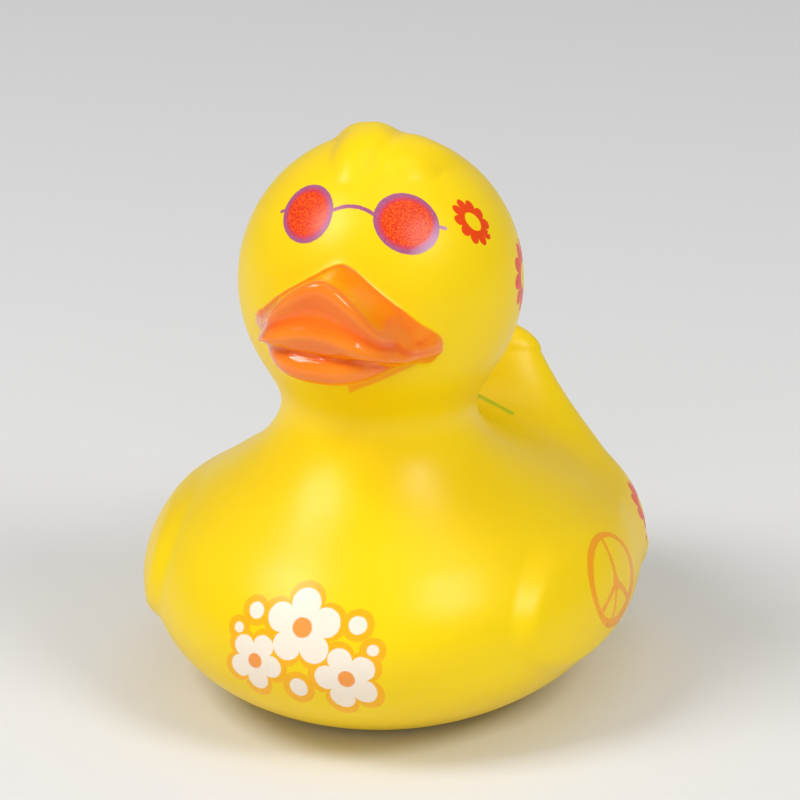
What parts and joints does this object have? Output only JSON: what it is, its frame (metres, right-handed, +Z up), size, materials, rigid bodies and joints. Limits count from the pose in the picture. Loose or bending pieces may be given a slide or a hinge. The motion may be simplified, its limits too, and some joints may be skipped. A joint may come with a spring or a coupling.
{
  "type": "rubber duck",
  "caption": "Hollow soft vinyl bath duck with raised wings, an upturned tail, a wide open-lipped bill and a squeaker disc pressed into its flat base.",
  "frame": {"origin": "the middle of the duck's length and width, on the plane its flat base rests on", "axes": "+Z up through the head; the duck faces -Y, with its bill towards -Y and its tail towards +Y; +X is the duck's left side"},
  "size_m": [0.0701, 0.0784, 0.0841],
  "materials": {
    "yellow_vinyl": "satin soft vinyl",
    "white_plastic": "moulded, low gloss"
  },
  "bodies": {
    "root": {"duck_body": "yellow_vinyl", "squeaker": "white_plastic"}
  },
  "joints": []
}
